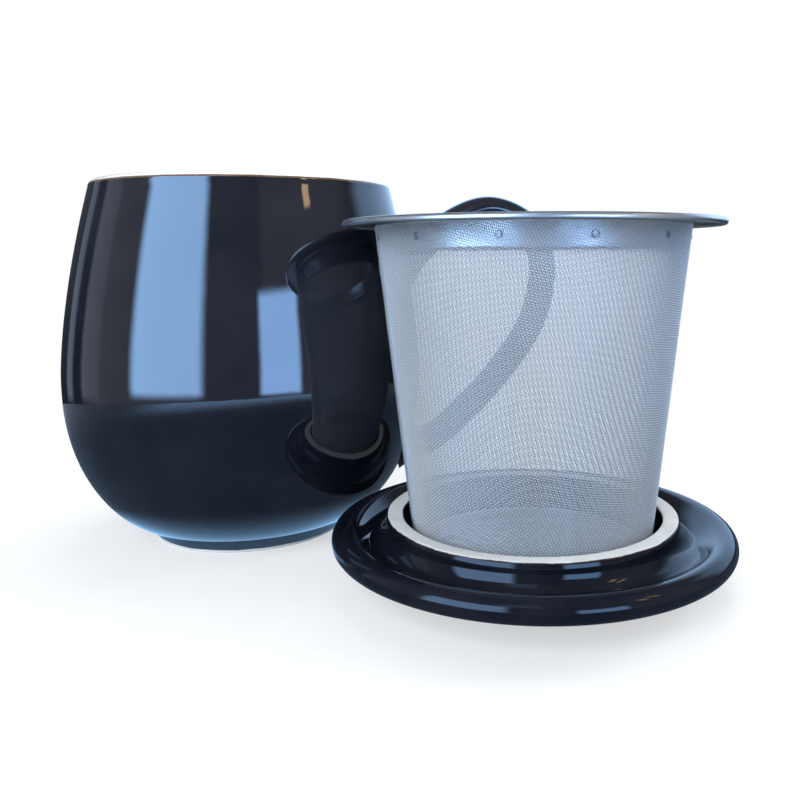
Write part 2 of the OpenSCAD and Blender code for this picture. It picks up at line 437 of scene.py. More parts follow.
@dataclass(frozen=True)
class TurnedSteel(Finish):
    """Stainless sheet with fine marks that run round the axis."""

    centre: Vector = field(default_factory=Vector)
    bright: Colour = (0.6, 0.58, 0.545)
    dull: Colour = (0.46, 0.45, 0.43)
    metallic: float = 0.98
    roughness: float = 0.27
    mark_pitch: float = 0.16
    mark_h: float = 0.004
    wave_h: float = 0.02

    def sockets(self, craft: Craft) -> dict[str, Any]:
        """Marks that depend on the distance from the axis, and faint clouds.

        Args:
            craft: The maker of the material's nodes.

        Returns:
            A value or a link for each named socket.
        """
        place = craft.place_mm(self.centre)
        radius = craft.length(craft.vectors("MULTIPLY", place, (1, 1, 0)))
        ring = craft.shader("CombineXYZ", X=radius, Y=craft.axis(place, "Z"))
        marks = craft.noise(ring, self.mark_pitch, 3, seed=13.0)
        cloud = craft.noise(place, 5, 3, seed=14.0).ramp(0.35, 0.75)
        wave = craft.noise(place, 6, 1, seed=15.0)
        return {
            "Base Color": craft.blend(cloud * 0.5 + marks.ramp(0.4, 0.7) * 0.35, self.bright, self.dull),
            "Metallic": self.metallic,
            "Roughness": self.roughness + cloud * 0.07 + marks.ramp(0.4, 0.8) * 0.06,
            "Normal": craft.relief(marks * self.mark_h + wave * self.wave_h),
        }


@dataclass(frozen=True)
class WireSteel(Finish):
    """Drawn stainless wire with a painted highlight on the crests of the weave and painted shade in its
    troughs, faintly cool or warm in patches.
    """

    centre: Vector = field(default_factory=Vector)
    cool: Colour = (0.88, 0.94, 1.0)
    warm: Colour = (1.0, 0.955, 0.93)
    # painted shade: the wire's colour where it dips under the other wires
    trough_shade: Colour = (0.22, 0.245, 0.28)
    metallic: float = 0.35
    roughness: float = 0.4
    squash: float = 0.12
    # how much the random unevenness dims the painted crest highlight
    crest_unevenness: float = 0.15

    def sockets(self, craft: Craft) -> dict[str, Any]:
        """Slightly uneven wire from place to place, in upright streaks, with a painted highlight on the
        crests and painted shade in the troughs.

        Args:
            craft: The maker of the material's nodes.

        Returns:
            A value or a link for each named socket.
        """
        streak = craft.vectors("MULTIPLY", craft.place_mm(self.centre), (1, 1, self.squash))
        uneven = craft.noise(streak, 1.6, 3, seed=16.0).ramp(0.3, 0.75)
        crest = craft.carried(CREST)
        tint = craft.blend(craft.noise(streak, 13, 2, seed=19.0).ramp(0.38, 0.66), self.cool, self.warm)
        # painted highlight and painted shade: the crest value lightens the wire where it stands out and
        # darkens it where it dips under
        colour = craft.blend(crest * crest * (uneven * self.crest_unevenness + (1 - self.crest_unevenness)), self.trough_shade, tint)
        return {"Base Color": colour, "Metallic": self.metallic, "Roughness": self.roughness + uneven * 0.1}


@dataclass(frozen=True)
class WeldSteel(Finish):
    """A spot weld, dulled and faintly browned by its heat."""

    bright: Colour = (0.3, 0.29, 0.27)
    brown: Colour = (0.17, 0.155, 0.14)
    roughness: float = 0.42

    def sockets(self, craft: Craft) -> dict[str, Any]:
        """Fine burnt grain.

        Args:
            craft: The maker of the material's nodes.

        Returns:
            A value or a link for each named socket.
        """
        burnt = craft.noise(craft.place_mm(), 0.5, 3, seed=17.0)
        return {
            "Base Color": craft.blend(burnt.ramp(0.35, 0.7), self.bright, self.brown),
            "Metallic": 1.0,
            "Roughness": self.roughness + burnt * 0.15,
            "Normal": craft.relief(burnt * 0.02),
        }


# ------------ turned shapes


def shares(steps: int, power: float = 1.0) -> list[float]:
    """Steps from 0 to 1, even unless a power crowds them towards 0."""
    return [(i / steps) ** power for i in range(steps + 1)]


class Outline:
    """The outline of a turned shape: radii and heights in millimetres, corners rounded."""

    CHORD_DEG = 12.0
    SIDE_SHARE = 0.48  # the most of a side that a rounding takes up

    def __init__(self) -> None:
        """Starts empty."""
        self.corners: list[tuple[Point, float]] = []
        self.zero = 0

    def to(self, radius: float, height: float, rounding: float = 0.0) -> "Outline":
        """Adds a corner, rounded off by a radius if one is given."""
        self.corners.append(((radius, height), rounding))
        return self

    def along(self, points: list[Point]) -> "Outline":
        """Adds the points of a smooth stretch in order."""
        self.corners.extend((point, 0.0) for point in points)
        return self

    def arc(self, centre: Point, radius: float, start: float, end: float, steps: int) -> "Outline":
        """Adds an arc.

        Args:
            centre: Its centre.
            radius: Its radius.
            start: Its first angle in degrees, from the outward direction upwards.
            end: Its last angle.
            steps: How many chords it has.

        Returns:
            The outline, for the next call.
        """
        x, z = centre
        turn = [math.radians(start + (end - start) * s) for s in shares(steps)]
        return self.along([(x + radius * math.cos(a), z + radius * math.sin(a)) for a in turn])

    def start_run(self) -> "Outline":
        """Counts the run from the last point added."""
        self.zero = len(self.corners) - 1
        return self

    def points(self) -> tuple[list[Point], list[float]]:
        """Rounds the corners.

        Returns:
            The points, and the run along them in millimetres.
        """
        done: list[Point] = []
        zero = 0
        for i, (corner, rounding) in enumerate(self.corners):
            if i == self.zero:
                zero = len(done)
            if rounding and 0 < i < len(self.corners) - 1:
                done.extend(self._rounded(self.corners[i - 1][0], corner, self.corners[i + 1][0], rounding))
            else:
                done.append(corner)
        run = [0.0]
        for a, b in zip(done, done[1:]):
            run.append(run[-1] + math.dist(a, b))
        return done, [length - run[zero] for length in run]

    def _rounded(self, before: Point, corner: Point, after: Point, rounding: float) -> list[Point]:
        """The arc that rounds a corner, as short as its sides need.

        Args:
            before: The point before the corner.
            corner: The corner.
            after: The point after it.
            rounding: The radius.

        Returns:
            The points of the arc.
        """
        here = Vector(corner)
        back, ahead = Vector(before) - here, Vector(after) - here
        angle = back.angle(ahead)
        room = self.SIDE_SHARE * min(back.length, ahead.length)
        reach = min(rounding / math.tan(angle / 2), room)
        first, last = here + back.normalized() * reach, here + ahead.normalized() * reach
        count = max(2, math.ceil(math.degrees(math.pi - angle) / self.CHORD_DEG))
        return [tuple(first * (1 - t) ** 2 + here * 2 * t * (1 - t) + last * t * t) for t in shares(count)]


def linked(name: str, data: bpy.types.ID) -> bpy.types.Object:
    """Puts a mesh, a camera or a light in the scene.

    Args:
        name: The object's name.
        data: What it shows.

    Returns:
        The object, at the origin.
    """
    made = bpy.data.objects.new(name, data)
    bpy.context.scene.collection.objects.link(made)
    return made


def bridge(work: bmesh.types.BMesh, low: list[bmesh.types.BMVert], high: list[bmesh.types.BMVert]) -> None:
    """Joins two rings of points with faces. A ring of one point is a tip.

    Args:
        work: The shape in the making.
        low: One ring.
        high: The next one.
    """
    for k in range(max(len(low), len(high))):
        corners = [ring[(k + step) % len(ring)] for ring, step in ((low, 0), (low, 1), (high, 1), (high, 0))]
        work.faces.new(list(dict.fromkeys(corners)))


def smooth_object(name: str, work: bmesh.types.BMesh) -> bpy.types.Object:
    """Turns a finished shape into an object with smooth faces.

    Args:
        name: The object's name.
        work: The shape, which is used up.

    Returns:
        The object.
    """
    bmesh.ops.recalc_face_normals(work, faces=work.faces)
    mesh = bpy.data.meshes.new(name)
    work.to_mesh(mesh)
    work.free()
    mesh.shade_smooth()
    return linked(name, mesh)


def turned(
    name: str, outline: Outline, centre: Vector, turns: int = 224, sharp: float = 40.0
) -> bpy.types.Object:
    """Turns an outline round a vertical axis to a mesh that carries its run.

    Args:
        name: The object's name.
        outline: The outline: from axis to axis, or a loop that stays off the axis.
        centre: Where the axis meets the table, in metres.
        turns: How many steps it has round the axis.
        sharp: The angle in degrees past which an edge is sharp.

    Returns:
        The object.
    """
    work = bmesh.new()
    carried = work.verts.layers.float.new(RUN)
    rings: list[list[bmesh.types.BMVert]] = []
    for (radius, height), length in zip(*outline.points()):
        ring = []
        for k in range(turns if radius > TIP_R else 1):
            angle = math.tau * k / turns
            place = Vector((radius * math.cos(angle), radius * math.sin(angle), height)) * MM
            vert = work.verts.new(centre + place)
            vert[carried] = length
            ring.append(vert)
        rings.append(ring)
    if len(rings[0]) > 1 and len(rings[-1]) > 1:
        rings.append(rings[0])
    for low, high in zip(rings, rings[1:]):
        bridge(work, low, high)
    piece = smooth_object(name, work)
    piece.data.set_sharp_from_angle(angle=math.radians(sharp))
    return piece


def dress(piece: bpy.types.Object, body: str, slot: str, material: bpy.types.Material, *nodes: str) -> None:
    """Gives a finished piece its material and body, and hides the CAD nodes that it stands for.

    Args:
        piece: The piece.
        body: The body that it rides.
        slot: A material slot's name; not used.
        material: Its material.
        nodes: The CAD nodes that it replaces.
    """
    piece.data.materials.clear()
    piece.data.materials.append(material)
    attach(piece, body)
    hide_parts(*nodes)
    log.info("%s rides %s, %d faces", piece.name, body, len(piece.data.polygons))


# ------------ geometry nodes


class Recipe:
    """A Geometry Nodes tree with named inputs, used to grow plain meshes."""

    def __init__(self, name: str, sizes: list[str], counts: list[str]) -> None:
        """Makes the tree and its inputs, which always have a centre and a material.

        Args:
            name: The tree's name.
            sizes: The names of the inputs that are sizes.
            counts: The names of the inputs that are whole numbers.
        """
        inputs = {**dict.fromkeys(sizes, "Float"), **dict.fromkeys(counts, "Int")}
        inputs.update(Centre="Vector", Material="Material")
        self.tree = bpy.data.node_groups.new(name, "GeometryNodeTree")
        panel = self.tree.interface
        panel.new_socket("Geometry", in_out="OUTPUT", socket_type="NodeSocketGeometry")
        self.identifiers = {
            title: panel.new_socket(title, in_out="INPUT", socket_type="NodeSocket" + kind).identifier
            for title, kind in inputs.items()
        }
        self.craft = Craft(self.tree)
        group = self.tree.nodes.new("NodeGroupInput")
        self.given = {title: Value(self.craft, group.outputs[title]) for title in inputs}

    def wire(self, curves: Value) -> Value:
        """Sweeps curves to three-sided wire."""
        section = self.craft.geometry("CurvePrimitiveCircle", Resolution=3, Radius=self.given["Wire radius"])
        return self.craft.geometry("CurveToMesh", **{"Curve": curves, "Profile Curve": section})

    def finish(self, geometry: Value) -> None:
        """Ends the tree: instances made real, smooth, and the material set.

        Args:
            geometry: What the tree makes.
        """
        real = self.craft.geometry("RealizeInstances", Geometry=geometry)
        smooth = self.craft.geometry("SetShadeSmooth", real)
        dressed = self.craft.geometry("SetMaterial", Geometry=smooth, Material=self.given["Material"])
        self.craft.make("NodeGroupOutput", sockets={0: dressed})

    def grow(self, name: str, values: dict[str, Any]) -> bpy.types.Object:
        """Runs the tree once and keeps the result as a plain mesh.

        Args:
            name: The new object's name.
            values: A value for each input.

        Returns:
            The object, at the origin.
        """
        seed = linked(name + "_seed", bpy.data.meshes.new(name + "_seed"))
        modifier = seed.modifiers.new("grow", "NODES")
        modifier.node_group = self.tree
        for title, value in values.items():
            modifier[self.identifiers[title]] = value
        graph = bpy.context.evaluated_depsgraph_get()
        mesh = bpy.data.meshes.new_from_object(seed.evaluated_get(graph), depsgraph=graph)
        mesh.name = name
        seed.modifiers.remove(modifier)
        bpy.data.objects.remove(seed)
        return linked(name, mesh)


class RolledCloth(Recipe):
    """Flat woven cloth, cut as a sector of a ring and rolled to a cone."""

    SIZES = [
        "Slope", "Foot radius", "Top radius", "Foot height", "Warp pitch", "Weft pitch", "Wire radius",
        "Crimp", "Seam",
    ]
    COUNTS = ["First", "Count", "Steps"]

    def __init__(self, name: str) -> None:
        """Starts a tree and works out the sector.

        Args:
            name: The tree's name.
        """
        super().__init__(name, self.SIZES, self.COUNTS)
        slope, steps = self.given["Slope"], self.given["Steps"]
        self.long = (slope * slope + 1.0).maths("SQRT")
        self.sine = slope / self.long
        self.low = self.given["Foot radius"] / self.sine
        self.high = self.given["Top radius"] / self.sine
        self.half_angle = self.sine * math.pi
        index = self.craft.geometry("InputIndex")
        self.number = (index / steps).maths("FLOOR")
        self.place = index.maths("MODULO", steps)
        self.lines = self.craft.lines(self.given["Count"], steps)

    def rolled(self, lines: Value, along: Value, aside: Value, swell: Value | float, spare: Value) -> Value:
        """Rolls flat lines to the cone.

        Args:
            lines: The lines.
            along: Each point's distance from the flat sector's tip, along its middle.
            aside: Its distance from the middle line.
            swell: How far it stands out of the cone.
            spare: 1 for the points that are cut off.

        Returns:
            The curves.
        """
        craft = self.craft
        reach = (along * along + aside * aside).maths("SQRT")
        turn = aside.maths("ARCTAN2", along) / self.sine + self.given["Seam"]
        radius = reach * self.sine + swell
        height = self.given["Foot height"] + (reach - self.low) / self.long
        spot = craft.shader(
            "CombineXYZ", X=radius * turn.maths("COSINE"), Y=radius * turn.maths("SINE"), Z=height
        )
        place = craft.vectors("ADD", spot, self.given["Centre"])
        moved = craft.geometry("SetPosition", Geometry=lines, Position=place)
        kept = craft.geometry("DeleteGeometry", Geometry=moved, Selection=spare)
        return craft.geometry("MeshToCurve", kept)

    def warp(self, crest: float = 0.45) -> "RolledCloth":
        """Straight wires that run up the cloth, each cut at the sector's edges.

        Args:
            crest: How far they stand out, between the weft's troughs and crests, which sets their painted
                shade.

        Returns:
            The finished recipe.
        """
        aside = (self.number - (self.given["Count"] - 1.0) / 2.0) * self.given["Warp pitch"]
        square = aside * aside
        edge = aside.maths("ABSOLUTE") / self.half_angle.maths("TANGENT")
        start = (self.low * self.low - square).maths("MAXIMUM", 0.0).maths("SQRT").maths("MAXIMUM", edge)
        end = (self.high * self.high - square).maths("SQRT")
        along = start + (end - start) * self.place / (self.given["Steps"] - 1.0)
        curves = self.rolled(self.lines, along, aside, 0.0, start.maths("GREATER_THAN", end))
        self.finish(self.wire(self.craft.marked(curves, crest)))
        return self

    def weft(self) -> "RolledCloth":
        """Wires that run across and weave over and under each upright one.

        Returns:
            The finished recipe.
        """
        row = self.number + self.given["First"]
        along = self.low * self.half_angle.maths("COSINE") + (row + 0.5) * self.given["Weft pitch"]
        aside = (self.place - (self.given["Steps"] - 1.0) / 2.0) * self.given["Warp pitch"]
        over = (self.place + row).maths("MODULO", 2.0)
        reach = (along * along + aside * aside).maths("SQRT")
        spare = aside.maths("ARCTAN2", along).maths("ABSOLUTE").maths("GREATER_THAN", self.half_angle)
        spare = spare.maths("MAXIMUM", reach.maths("LESS_THAN", self.low))
        spare = spare.maths("MAXIMUM", reach.maths("GREATER_THAN", self.high))
        lines = self.craft.marked(self.lines, over)
        self.finish(self.wire(self.rolled(lines, along, aside, (over * 2 - 1) * self.given["Crimp"], spare)))
        return self


def disc_cloth(crest: float = 0.45) -> Recipe:
    """Cloth on a disc: straight wires one way, and wires that weave over them the other way.

    Args:
        crest: How far the straight wires stand out, between the others' troughs and crests, which sets their
            painted shade.

    Returns:
        The recipe.
    """
    recipe = Recipe("disc_cloth", ["Radius", "Wire radius", "Crimp"], ["Warps", "Wefts"])
    craft, given = recipe.craft, recipe.given
    index = craft.geometry("InputIndex")
    radius, warps, wefts = given["Radius"], given["Warps"], given["Wefts"]
    wires = []
    for lines, steps, across in ((wefts, warps, False), (warps, wefts, True)):
        number = (index / steps).maths("FLOOR")
        place = index.maths("MODULO", steps)
        aside = (number + 1.0) * radius * 2 / (lines + 1.0) - radius
        along = (place + 1.0) * radius * 2 / (steps + 1.0) - radius
        over = (number + place).maths("MODULO", 2.0)
        spare = (aside * aside + along * along).maths("GREATER_THAN", radius * radius)
        marked = craft.marked(craft.lines(lines, steps), crest if across else over)
        x, y, z = (aside, along, 0.0) if across else (along, aside, (over * 2 - 1) * given["Crimp"])
        spot = craft.shader("CombineXYZ", X=x, Y=y, Z=z)
        laid = craft.geometry("SetPosition", Geometry=marked, Position=spot)
        trimmed = craft.geometry("DeleteGeometry", Geometry=laid, Selection=spare)
        placed = craft.geometry("SetPosition", Geometry=trimmed, Offset=given["Centre"])
        wires.append(recipe.wire(craft.geometry("MeshToCurve", placed)))
    recipe.finish(craft.geometry("JoinGeometry", wires))
    return recipe


def weld_row(segments: int = 20) -> Recipe:
    """Flattened spots, evenly set round a circle.

    Args:
        segments: How many sides each spot has.

    Returns:
        The recipe.
    """
    recipe = Recipe("weld_row", ["Circle", "Spot radius", "Flatness"], ["Count"])
    craft, given = recipe.craft, recipe.given
    turn = (craft.geometry("InputIndex") + 0.5) * math.tau / given["Count"]
    spot = craft.geometry("MeshUVSphere", Segments=segments, Rings=segments // 2, Radius=given["Spot radius"])
    seeds = craft.geometry("MeshLine", Count=given["Count"])
    x, y = (turn.maths(side) * given["Circle"] for side in ("COSINE", "SINE"))
    set_out = craft.geometry("SetPosition", Geometry=seeds, Position=craft.shader("CombineXYZ", X=x, Y=y))
    raised = craft.geometry("SetPosition", Geometry=set_out, Offset=given["Centre"])
    facing = craft.shader("CombineXYZ", Z=turn)
    squeeze = craft.shader("CombineXYZ", X=given["Flatness"], Y=1.0, Z=1.0)
    recipe.finish(
        craft.geometry("InstanceOnPoints", Points=raised, Instance=spot, Rotation=facing, Scale=squeeze)
    )
    return recipe


# ------------ the mug


@dataclass
class Mug:
    """The thrown mug and its ear handle."""

    height: float
    belly_d: float
    belly_z: float = 43.0
    lip_d: float = 78.6
    wall: float = 3.6
    floor: float = 5.0
    floor_dip: float = 0.35
    floor_bend: float = 1.2
    floor_in: Point = (1.5, 4.5)
    floor_round: Point = (2.0, 3.0)
    foot_d: float = 50.6
    foot_h: float = 3.8
    foot_w: float = 3.6
    foot_flare: float = 0.2
    foot_hollow: float = 1.8
    foot_gap: float = 0.4
    foot_round: tuple[float, ...] = (1.5, 0.5, 0.7, 0.8)
    ledge: float = 3.6
    bowl_power: Point = (2.3, 0.72)
    shoulder_power: float = 1.6
    handle_reach: float = 35.8
    handle_drop: float = 6.4
    handle_root_z: float = 18.0
    handle_t: float = 7.2
    handle_w: float = 12.0
    handle_az: float = 8.0
    flare: float = 2.0
    flare_reach: float = 7.0
    sunk: float = 0.9
    buried: float = 3.0

    def __post_init__(self) -> None:
        """Works out the places that the shapes share."""
        self.lip_r = self.lip_d / 2
        self.belly_r = self.belly_d / 2
        self.lip_z = self.height - self.wall / 2
        self.floor_z = self.foot_hollow + self.floor
        self.kink_z = self.foot_h + self.foot_gap
        self.kink_r = self.foot_d / 2 + self.ledge

    def outside(self, z: float) -> float:
        """The outside radius at a height.

        Args:
            z: The height above the table.

        Returns:
            The radius.
        """
        if z < self.belly_z:
            t = (self.belly_z - max(z, self.kink_z)) / (self.belly_z - self.kink_z)
            full = (1 - t ** self.bowl_power[0]) ** self.bowl_power[1]
            return self.kink_r + (self.belly_r - self.kink_r) * full
        s = (min(z, self.lip_z) - self.belly_z) / (self.lip_z - self.belly_z)
        return self.belly_r - (self.belly_r - self.lip_r) * s**self.shoulder_power

    def slope(self, z: float, step: float = 0.05) -> float:
        """How fast the outside radius grows with height, measured over a small step."""
        return (self.outside(z + step) - self.outside(z - step)) / (2 * step)

    def inside(self, z: float) -> float:
        """The inside radius at a height, the wall measured square to its face."""
        return self.outside(z) - self.wall * math.hypot(1, self.slope(z))

    def body_outline(self) -> Outline:
        """The body's outline, from under the foot over the lip to the floor.

        Returns:
            The outline. Its run is zero on top of the lip.
        """
        foot_r, hollow_r = self.foot_d / 2, self.foot_d / 2 - self.foot_w
        bowl = [self.kink_z + (self.belly_z - self.kink_z) * s for s in shares(44, 1.8)]
        shoulder = [self.belly_z + (self.lip_z - self.belly_z) * s for s in shares(30)[1:]]
        deep_z = self.floor_z + self.floor_bend
        deep = [deep_z + (self.lip_z - deep_z) * s for s in shares(60, 1.5)[-2::-1]]
        lip = (self.lip_r - self.wall / 2, self.lip_z)
        under, inner, outer, kink = self.foot_round
        outline = Outline()
        outline.to(0, self.foot_hollow).to(hollow_r - self.foot_hollow, self.foot_hollow, under)
        outline.to(hollow_r, 0, inner).to(foot_r, 0, outer).to(foot_r + self.foot_flare, self.foot_h, kink)
        outline.along([(self.outside(z), z) for z in bowl + shoulder])
        outline.arc(lip, self.wall / 2, 14, 90, 8).start_run().arc(lip, self.wall / 2, 100, 166, 7)
        outline.along([(self.inside(z), z) for z in deep])
        corner_r = outline.corners[-1][0][0]
        outline.to(corner_r - self.floor_in[0], self.floor_z + self.floor_dip, self.floor_round[0])
        outline.to(corner_r - self.floor_in[1], self.floor_z, self.floor_round[1])
        return outline.to(0, self.floor_z)

    def handle_path(self, steps: int = 9) -> list[Point]:
        """The middle line of the handle, out from the axis and up.

        Args:
            steps: How many chords each stretch between two knots has.

        Returns:
            The points, from the upper root to the lower one.
        """
        places = [
            (-0.25, 0.7), (0.02, 0.83), (0.285, 0.953), (0.59, 1), (0.89, 0.925), (1, 0.757),
            (0.915, 0.535), (0.66, 0.335), (0.375, 0.175), (0.1, 0.055), (-0.2, 0.01),
        ]
        rise = self.height - self.handle_drop - self.handle_root_z
        knots = [
            Vector((self.belly_r + self.handle_reach * out, self.handle_root_z + rise * up))
            for out, up in places
        ]
        knots = [knots[0], *knots, knots[-1]]
        line = []
        for a, b, c, d in zip(knots, knots[1:], knots[2:], knots[3:]):
            for t in shares(steps)[:-1]:
                bend = (2 * a - 5 * b + 4 * c - d) * t * t + (3 * b - a - 3 * c + d) * t**3
                line.append((2 * b + (c - a) * t + bend) * 0.5)
        return [tuple(point) for point in [*line, knots[-1]]]

    def depth(self, spot: Vector) -> float:
        """How far a point is outside the mug's wall, less than zero inside it."""
        return (math.hypot(spot.x, spot.y) - self.outside(spot.z)) / math.hypot(1, self.slope(spot.z))

    def spread(self, middle: Vector, across: Vector, angle: float) -> Vector:
        """A point of the handle's face, moved out where it is close to the wall.

        Args:
            middle: The point of the middle line.
            across: The direction across the band's thickness.
            angle: Where the point is round the section.

        Returns:
            The point in millimetres.
        """
        arm = across * (self.handle_t / 2 * math.cos(angle))
        arm += Vector((0, self.handle_w / 2 * math.sin(angle), 0))
        near = 1 - self.depth(middle + arm) / self.flare_reach
        arm += arm.normalized() * self.flare * min(max(near, 0.0), 1.0) ** 2
        return middle + arm

    def held(self, spot: Vector) -> Vector:
        """Keeps a point from sinking deeper than the root does into the wall.

        Args:
            spot: The point in millimetres.

        Returns:
            The point, moved out along the radius if it was too deep.
        """
        reach = math.hypot(spot.x, spot.y)
        least = self.outside(spot.z) - self.sunk
        if reach >= least:
            return spot
        return Vector((spot.x * least / reach, spot.y * least / reach, spot.z))

    def handle(self, name: str, sides: int = 40) -> bpy.types.Object:
        """The handle: an oval band that spreads where it is luted to the wall.

        Args:
            name: The object's name.
            sides: How many sides its section has.

        Returns:
            The object.
        """
        path = [Vector((out, 0, up)) for out, up in self.handle_path()]
        turn = Matrix.Rotation(math.radians(self.handle_az), 3, "Z")
        work = bmesh.new()
        rings = []
        for i, middle in enumerate(path):
            ahead = (path[min(i + 1, len(path) - 1)] - path[max(i - 1, 0)]).normalized()
            across = Vector((ahead.z, 0, -ahead.x))
            spots = [self.spread(middle, across, math.tau * k / sides) for k in range(sides)]
            depths = [self.depth(spot) for spot in spots]
            if min(depths) > -self.buried or max(depths) > -self.sunk:
                rings.append([work.verts.new(turn @ self.held(spot) * MM) for spot in spots])
        for low, high in zip(rings, rings[1:]):
            bridge(work, low, high)
        work.faces.new(reversed(rings[0]))
        work.faces.new(rings[-1])
        return smooth_object(name, work)

    def build(self) -> None:
        """Makes and dresses the body and the handle."""
        body = turned("glazed_mug", self.body_outline(), Vector())
        dress(body, "mug", "mug_glaze", MugGlaze("mug_glaze_zones").material(), "mug_body")
        handle = self.handle("glazed_handle")
        dress(handle, "mug", "handle_glaze", BlackGlaze("handle_glaze_black").material(), "mug_handle")


# ------------ the lid


@dataclass
class Lid:
    """The lid, lying upside down: its ring stands up and its top is on the table."""

    centre: Vector
    rim_d: float
    height: float = 16.0
    clay_t: float = 5.0
    ring_r: float = 32.6
    ring_w: float = 3.6
    ring_round: float = 0.7
    ring_foot: Point = (0.3, 1.2)
    seat_fillet: float = 2.2
    rim_r: float = 2.6
    rim_z: float = 11.2
    rim_inner: Point = (2.2, 0.42)
    trough_h: float = 5.6
    trough_spread: float = 0.72
    land_d: float = 49.0
    land_round: float = 1.5
    dome_power: float = 0.92

    def outline(self, steps: int = 24) -> Outline:
        """The lid's outline, from the middle of its top round the rim to its underside.

        Args:
            steps: How many chords the dome and the trough have.

        Returns:
            The outline. Its run is zero in the middle of the ring's bare edge.
        """
        rim_mid = self.rim_d / 2 - self.rim_r
        land_r = self.land_d / 2
        bore_r = self.ring_r - self.ring_w
        foot_r, foot_z = self.ring_r + self.ring_foot[0], self.height - self.ring_foot[1]
        across = self.ring_r + self.trough_h * self.trough_spread - foot_r
        down = self.height - self.trough_h - foot_z
        outline = Outline().to(0, 0).to(land_r - self.land_round, 0)
        outline.along([
            (land_r + (rim_mid - land_r) * s, (self.rim_z - self.rim_r) * s**self.dome_power)
            for s in shares(steps)[1:]
        ])
        outline.arc((rim_mid, self.rim_z), self.rim_r, -72, 96, 22)
        outline.to(rim_mid - self.rim_inner[0], self.rim_z + self.rim_r - self.rim_inner[1])
        outline.along([
            (foot_r + across * (1 - math.cos(a)), foot_z + down * math.sin(a))
            for a in (math.pi / 2 * (1 - s) for s in shares(steps)[:-1])
        ])
        outline.to(foot_r, foot_z).to(self.ring_r, self.height, self.ring_round)
        outline.to(self.ring_r - self.ring_w / 2, self.height).start_run()
        outline.to(bore_r, self.height, self.ring_round).to(bore_r, self.clay_t, self.seat_fillet)
        return outline.to(0, self.clay_t)

    def build(self) -> None:
        """Makes and dresses the lid."""
        lid = turned("glazed_lid", self.outline(), self.centre)
        dress(lid, "lid", "lid_glaze", LidGlaze("lid_glaze_zones", centre=self.centre).material(), "lid")


# ------------ the infuser


